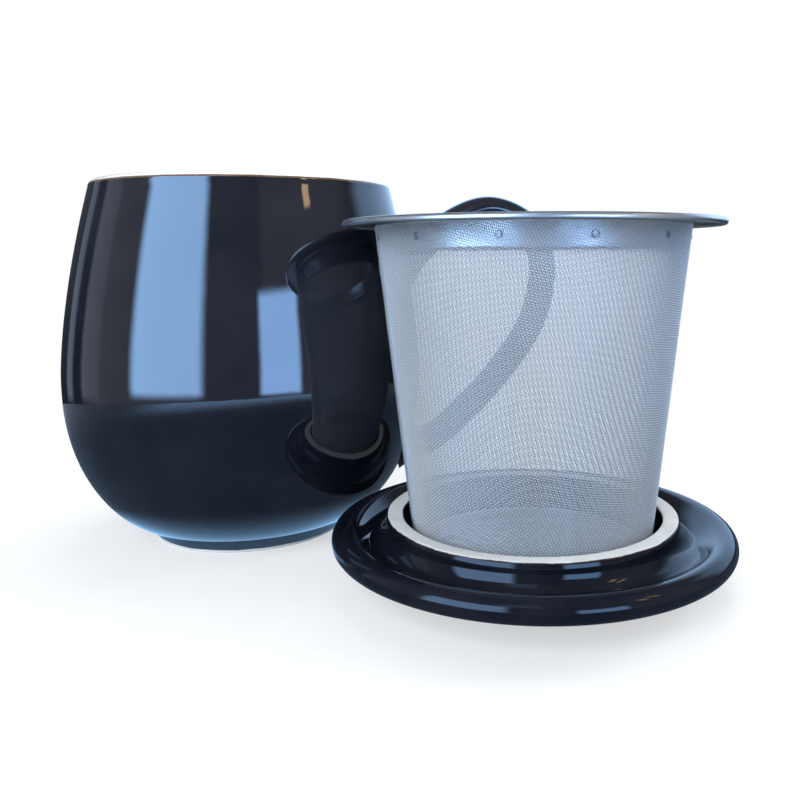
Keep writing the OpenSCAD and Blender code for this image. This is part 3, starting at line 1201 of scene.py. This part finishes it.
@dataclass
class Infuser:
    """The steel infuser: rim ring, wire cloth wall and floor, base hoop and welds."""

    centre: Vector
    flange_r: float
    flange_z: float
    base_z: float = 5.0
    base_r: float = 26.3
    cloth_top_r: float = 34.8
    sheet_t: float = 0.5
    curl_r: float = 0.8
    collar_h: float = 6.5
    bead_r: float = 0.6
    bead_step: Point = (0.1, 1.2)
    bend_h: float = 0.4
    bend_w: float = 0.1
    bend_round: Point = (0.5, 0.9)
    cloth_t: float = 0.4
    wire_r: float = 0.088
    crimp: float = 0.1
    warp_pitch: float = 0.36
    weft_pitch: float = 0.5
    seam_az: float = 20.0
    hoop_h: float = 2.6
    hoop_ledge: float = 1.2
    hoop_lip: float = 0.1
    hoop_round: Point = (0.25, 0.1)
    floor_gap: float = 0.1
    weld_count: int = 12
    weld_d: float = 1.6
    weld_drop: float = 0.58
    weld_sunk: float = 0.1
    weld_flatness: float = 0.1

    def __post_init__(self) -> None:
        """Works out the places that the pieces share."""
        self.cloth_top_z = self.flange_z - self.sheet_t - self.curl_r
        self.cloth_foot_z = self.base_z + self.sheet_t
        self.cone = (self.cloth_top_r - self.base_r) / (self.cloth_top_z - self.cloth_foot_z)
        self.steel = TurnedSteel("rim_steel", centre=self.centre).material()
        self.wire = WireSteel("cloth_wire", centre=self.centre).material()
        self.woven = {"Wire radius": self.wire_r * MM, "Crimp": self.crimp * MM, "Material": self.wire}

    def cloth_r(self, z: float) -> float:
        """The cloth's outside radius at a height."""
        return self.base_r + self.cone * (z - self.cloth_foot_z)

    def rim_outline(self) -> Outline:
        """The rim ring: a collar with a beaded foot, a bend, a flat flange and a rolled edge.

        Returns:
            The outline, a loop.
        """
        t = self.sheet_t
        collar_z = self.flange_z - self.collar_h
        bend_z = self.cloth_top_z - self.bend_h
        top_r = self.cloth_r(self.cloth_top_z) - self.cloth_t
        foot_r = self.cloth_r(collar_z) - self.cloth_t
        curl = (self.flange_r - self.curl_r, self.flange_z - self.curl_r)
        bead = (foot_r - self.bead_r, collar_z + self.bead_r)
        outline = Outline()
        outline.to(top_r, bend_z).to(top_r + self.bend_w, self.flange_z - t, self.bend_round[0])
        outline.to(curl[0] - self.curl_r, self.flange_z - t).arc(curl, self.curl_r, -150, 90, 22)
        outline.to(top_r + t, self.flange_z)
        outline.to(top_r - t + self.bend_w, self.flange_z, self.bend_round[1])
        outline.to(top_r - t, bend_z).to(bead[0] - self.bead_step[0], bead[1] + self.bead_step[1])
        return outline.arc(bead, self.bead_r, 160, 380, 18)

    def hoop_outline(self) -> Outline:
        """The base hoop: a ledge under the cloth floor and a band inside the cloth.

        Returns:
            The outline, a loop.
        """
        t = self.sheet_t
        band_r = self.base_r - self.cloth_t
        edge_r = self.base_r + self.hoop_lip
        ledge_r = band_r - t - self.hoop_ledge
        top = (band_r + self.cone * self.hoop_h, self.cloth_foot_z + self.hoop_h)
        outline = Outline().to(ledge_r, self.base_z).to(edge_r, self.base_z, self.hoop_round[0])
        outline.to(edge_r, self.cloth_foot_z, self.hoop_round[1]).to(band_r, self.cloth_foot_z)
        outline.to(*top).to(top[0] - t, top[1]).to(band_r - t, self.cloth_foot_z)
        return outline.to(ledge_r, self.cloth_foot_z)

    def at_height(self, z: float) -> Vector:
        """The axis at a height, in metres."""
        return self.centre + Vector((0, 0, z * MM))

    def build_wall(self, parts: int = 4, warp_steps: int = 14) -> None:
        """Weaves the wall: one piece of upright wires and some of cross wires.

        Args:
            parts: How many pieces the cross wires are shared among.
            warp_steps: How many points each upright wire has.
        """
        middle = self.cloth_t / 2
        sine = self.cone / math.hypot(1, self.cone)
        low, high = (r - middle for r in (self.base_r, self.cloth_top_r))
        width = 2 * high / sine * math.sin(math.pi * sine)
        depth = high / sine - low / sine * math.cos(math.pi * sine)
        warps = int(width / self.warp_pitch)
        wefts = math.ceil(depth / self.weft_pitch / parts)
        sizes = {
            **self.woven, "Centre": self.centre, "Slope": self.cone, "Seam": math.radians(self.seam_az),
            "Foot radius": low * MM, "Top radius": high * MM, "Foot height": self.cloth_foot_z * MM,
            "Warp pitch": self.warp_pitch * MM, "Weft pitch": self.weft_pitch * MM,
        }
        warp, weft = RolledCloth("rolled_warp").warp(), RolledCloth("rolled_weft").weft()
        pieces = [warp.grow("cloth_warp", {**sizes, "First": 0, "Count": warps, "Steps": warp_steps})]
        for part in range(parts):
            counts = {"First": part * wefts, "Count": wefts, "Steps": warps}
            pieces.append(weft.grow(f"cloth_weft_{part + 1}", {**sizes, **counts}))
        for piece in pieces:
            dress(piece, "infuser", "wire_cloth", self.wire, "mesh_wall")

    def build_floor(self) -> None:
        """Weaves the floor."""
        radius = self.base_r - self.cloth_t - self.sheet_t - self.floor_gap
        floor = disc_cloth().grow("cloth_floor", {
            **self.woven, "Centre": self.at_height(self.cloth_foot_z + self.cloth_t / 2),
            "Radius": radius * MM,
            "Warps": int(2 * radius / self.warp_pitch), "Wefts": int(2 * radius / self.weft_pitch),
        })
        dress(floor, "infuser", "wire_cloth", self.wire, "mesh_floor")

    def build_welds(self) -> None:
        """Sets the spot welds round the collar."""
        weld_z = self.flange_z - self.collar_h * self.weld_drop
        weld = WeldSteel("weld_grain").material()
        welds = weld_row().grow("spot_welds", {
            "Count": self.weld_count, "Circle": (self.cloth_r(weld_z) - self.weld_sunk) * MM,
            "Spot radius": self.weld_d / 2 * MM, "Flatness": self.weld_flatness,
            "Centre": self.at_height(weld_z), "Material": weld,
        })
        dress(welds, "infuser", "weld_steel", weld, "collar_welds")

    def build(self) -> None:
        """Makes and dresses the infuser's pieces."""
        rim = turned("infuser_rim", self.rim_outline(), self.centre, turns=256)
        dress(rim, "infuser", "sheet_steel", self.steel, "rim_flange")
        hoop = turned("infuser_hoop", self.hoop_outline(), self.centre, turns=192)
        dress(hoop, "infuser", "hoop_steel", self.steel, "base_hoop")
        self.build_wall()
        self.build_floor()
        self.build_welds()


# ------------ the studio


class Sight(Enum):
    """Which rays a stage object shows itself to."""

    ALL = "all"
    GLOSS = "gloss"


@dataclass(frozen=True)
class SoftPanel:
    """A soft-edged bright field on the studio wall, in degrees, seen only in reflections."""

    azimuth: float
    half_width: float
    low: float
    high: float
    colour: Colour
    soft: float


@dataclass(frozen=True)
class Lamp:
    """A square soft lamp: its place and its side in metres and its power in watts."""

    name: str
    place: Place
    side: float
    power: float
    colour: Colour

    def hang(self, target: Place) -> None:
        """Hangs the lamp so that it looks at a place.

        Args:
            target: The place in metres.
        """
        data = bpy.data.lights.new(self.name, "AREA")
        data.size = self.side
        data.energy = self.power
        data.color = self.colour
        made = linked(self.name, data)
        made.visible_glossy = False
        made.location = self.place
        aim = Vector(target) - Vector(self.place)
        made.rotation_euler = aim.to_track_quat("-Z", "Y").to_euler()


@dataclass
class Studio:
    """The camera, the floor, the backdrop and the lights."""

    focal_px: float = 815.16
    image_px: int = 800
    sensor_mm: float = 36.0
    centre_px: Point = (459.16, 304.7)
    camera_mm: Place = (58.0, -223.5, 74.25)
    tilt: float = 0.0635
    roll: float = -0.0043
    target: Place = (0.035, -0.02, 0.045)
    floor_mid: Point = (0.035, -0.02)
    floor_r: float = 0.26
    floor_fade: Point = (0.5, 0.97)
    paper: Colour = (0.85, 0.86, 0.87)
    paper_grain: float = 1.06
    sky: Colour = (0.93, 0.96, 1.0)
    sky_power: float = 0.5
    # painted light in the floor's reflection: a glow at the mug's foot, shade near the object and a glow at
    # one side
    painted_foot_glow: Colour = (0.55, 1.05, 1.75)
    painted_near_shade: Colour = (0.09, 0.13, 0.19)
    table_far: Colour = (0.22, 0.27, 0.36)
    painted_side_glow: Colour = (1.1, 1.9, 3.2)
    glow_foot: Point = (0.027, 0.043)
    glow_out: float = 0.7
    glow_near: Point = (0.05, 0.2)
    glow_left: Point = (-0.2, -0.1)
    dome_r: float = 1.1
    dome_foot: float = -32.0
    dome_low: Colour = (0.02, 0.026, 0.037)
    dome_high: Colour = (0.2, 0.21, 0.25)
    dome_fade: Point = (-10.0, 50.0)
    panels: tuple[SoftPanel, ...] = (
        SoftPanel(-90, 92, -20, 88, (0.36, 0.375, 0.44), 24),
        SoftPanel(-86, 20, -14, 44, (0.2, 0.22, 0.28), 5),
        SoftPanel(-97, 13, 38, 55, (0.75, 1.2, 1.9), 4),
        SoftPanel(-125, 22, -6, 38, (3.9, 6.8, 11.6), 7),
        SoftPanel(-57, 12, -6, 18, (3.6, 6.4, 11.8), 4),
        SoftPanel(178, 9, -8, 40, (0.5, 0.56, 0.7), 5),
        SoftPanel(152, 5, -8, 34, (0.34, 0.42, 0.56), 4),
        SoftPanel(60, 46, 6, 36, (0.98, 1.5, 2.3), 16),
        SoftPanel(-30, 2.4, 30, 38, (6.4, 4.6, 2.6), 1.5),
        SoftPanel(-20, 1.8, 33, 43, (6.0, 4.5, 2.7), 1.5),
    )
    lamps: tuple[Lamp, ...] = (
        Lamp("key", (-0.3, -0.95, 0.5), 0.7, 18.0, (0.85, 0.93, 1.0)),
        Lamp("side", (0.95, 0.1, 0.6), 0.5, 6.0, (0.9, 0.95, 1.0)),
        Lamp("top", (0.1, 0.35, 1.1), 0.8, 6.0, (0.95, 0.97, 1.0)),
    )

    def camera(self) -> None:
        """Sets the camera where the photograph was taken from."""
        data = bpy.data.cameras.new("camera")
        data.sensor_width = self.sensor_mm
        data.lens = self.focal_px / self.image_px * data.sensor_width
        data.shift_x = 0.5 - self.centre_px[0] / self.image_px
        data.shift_y = self.centre_px[1] / self.image_px - 0.5
        data.clip_start = 0.01
        made = linked("camera", data)
        aim = Matrix.Rotation(math.pi / 2 - self.tilt, 4, "X") @ Matrix.Rotation(self.roll, 4, "Z")
        made.matrix_world = Matrix.Translation(Vector(self.camera_mm) * MM) @ aim
        bpy.context.scene.camera = made

    @staticmethod
    def seen(craft: Craft) -> tuple[Value, Value]:
        """Tells the rays that show the plain backdrop from those that light the object.

        Args:
            craft: The maker of the tree's nodes.

        Returns:
            1 or 0 for straight and passed on rays, and 1 or 0 for mirrored ones.
        """
        kinds = ["Is Camera Ray", "Is Transmission Ray", "Is Glossy Ray"]
        camera, passed, gloss = (craft.make("ShaderNodeLightPath", out=kind) for kind in kinds)
        return camera.maths("MAXIMUM", passed), gloss

    def table(self, craft: Craft, away: Value, edge: Value) -> Value:
        """The table that the glaze mirrors, with painted light on it: a painted glow at the mug's foot,
        painted shade further out, and a painted glow at one side.

        Args:
            craft: The maker of the floor's nodes.
            away: The distance from the middle of the floor in metres.
            edge: 1 at the edge of the floor.

        Returns:
            A colour.
        """
        spot = craft.place_mm()
        foot = (craft.length(spot) * MM).ramp(*self.glow_foot)
        x, y = (craft.axis(spot, axis) * MM for axis in "XY")
        glow = away.ramp(self.floor_r * self.glow_out, self.floor_r)
        glow = glow * (y * -1.0).ramp(*self.glow_near) * x.ramp(*self.glow_left)
        near = craft.blend(foot, self.painted_foot_glow, self.painted_near_shade)
        return craft.blend(glow, craft.blend(edge, near, self.table_far), self.painted_side_glow)

    def floor(self) -> None:
        """Lays a round sheet of paper that turns to plain white away from the object.

        The glaze mirrors it as the dim table that the photograph shows in the dark glaze.
        """
        middle = Vector((*self.floor_mid, 0))
        piece = turned("floor", Outline().to(0, 0).to(self.floor_r / MM, 0), middle, turns=96)
        made = bpy.data.materials.new("floor_paper")
        craft = Craft.of(made)
        here = craft.place_mm(middle)
        away = craft.length(here) * MM
        edge = away.ramp(*(self.floor_r * share for share in self.floor_fade))
        straight, gloss = self.seen(craft)
        grain = craft.noise(here, 30, 3, seed=18.0).ramp(0.3, 0.7)
        bright = tuple(c * self.paper_grain for c in self.paper)
        paper = craft.shader("BsdfDiffuse", Color=craft.blend(grain, self.paper, bright))
        veil = straight * (edge * 0.5 + 0.5)
        both = craft.shader("MixShader", veil, paper, craft.emission(WHITE))
        # in gloss the floor shows a table with painted light and painted shade on it
        mirrored = craft.emission(self.table(craft, away, edge))
        craft.shader("OutputMaterial", Surface=craft.shader("MixShader", gloss, both, mirrored))
        piece.data.materials.append(made)
        self.show(piece, Sight.ALL)

    def dome(self, steps: int = 32) -> None:
        """Puts a dark dome with soft panels over the object, seen only in gloss.

        Args:
            steps: How many chords it has from its foot to its top.
        """
        outline = Outline().arc((0, 0), self.dome_r / MM, self.dome_foot, 90, steps)
        piece = turned("studio_dome", outline, Vector(), turns=96)
        made = bpy.data.materials.new("studio_dome_panels")
        craft = Craft.of(made)
        here = craft.make("ShaderNodeTexCoord", out="Object")
        x, y, z = (craft.axis(here, axis) for axis in "XYZ")
        bearing = y.maths("ARCTAN2", x) * math.degrees(1)
        height = (z / self.dome_r).maths("ARCSINE") * math.degrees(1)
        colour = craft.blend(height.ramp(*self.dome_fade), self.dome_low, self.dome_high)
        for panel in self.panels:
            off = (bearing - panel.azimuth + FULL * 1.5).maths("FLOORED_MODULO", FULL) - FULL / 2
            share = off.band(-panel.half_width, panel.half_width, panel.soft)
            share = share * height.band(panel.low, panel.high, panel.soft * 0.6)
            colour = craft.blend(share, colour, panel.colour)
        craft.shader("OutputMaterial", Surface=craft.emission(colour))
        piece.data.materials.append(made)
        self.show(piece, Sight.GLOSS)

    @staticmethod
    def show(piece: bpy.types.Object, sight: Sight) -> None:
        """Shows a stage object to every ray, or to mirrored rays alone."""
        for rays in ("camera", "diffuse", "shadow", "transmission", "volume_scatter"):
            setattr(piece, "visible_" + rays, sight is Sight.ALL)

    def world(self) -> None:
        """Lights the shade softly, and is white where it is seen."""
        world = bpy.data.worlds.new("studio")
        bpy.context.scene.world = world
        craft = Craft.of(world)
        soft = craft.shader("Background", Color=rgba(self.sky), Strength=self.sky_power)
        white = craft.shader("Background", Color=rgba(WHITE), Strength=1.0)
        straight, gloss = self.seen(craft)
        both = craft.shader("MixShader", straight.maths("MAXIMUM", gloss), soft, white)
        craft.shader("OutputWorld", Surface=both)

    def build(self) -> None:
        """Sets up everything about the object."""
        self.camera()
        self.floor()
        self.dome()
        self.world()
        for lamp in self.lamps:
            lamp.hang(self.target)


# ------------ the making


def side_mm(node: str) -> tuple[Vector, Vector]:
    """A CAD node's lowest and highest corners in millimetres."""
    low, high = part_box(node)
    return low / MM, high / MM


def main() -> None:
    """Builds the studio and the three things, sized from the CAD parts."""
    logging.basicConfig(level=logging.INFO, format="%(name)s: %(message)s")
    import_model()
    scene = bpy.context.scene
    scene.view_settings.view_transform = "Standard"
    Studio().build()
    low, high = side_mm("mug_body")
    Mug(height=high.z, belly_d=high.x - low.x).build()
    low, high = side_mm("lid")
    centre = Vector(((low.x + high.x) / 2, (low.y + high.y) / 2, 0)) * MM
    Lid(centre=centre, rim_d=high.x - low.x).build()
    low, high = side_mm("rim_flange")
    Infuser(centre=centre, flange_r=(high.x - low.x) / 2, flange_z=high.z).build()


if __name__ == "__main__":
    main()
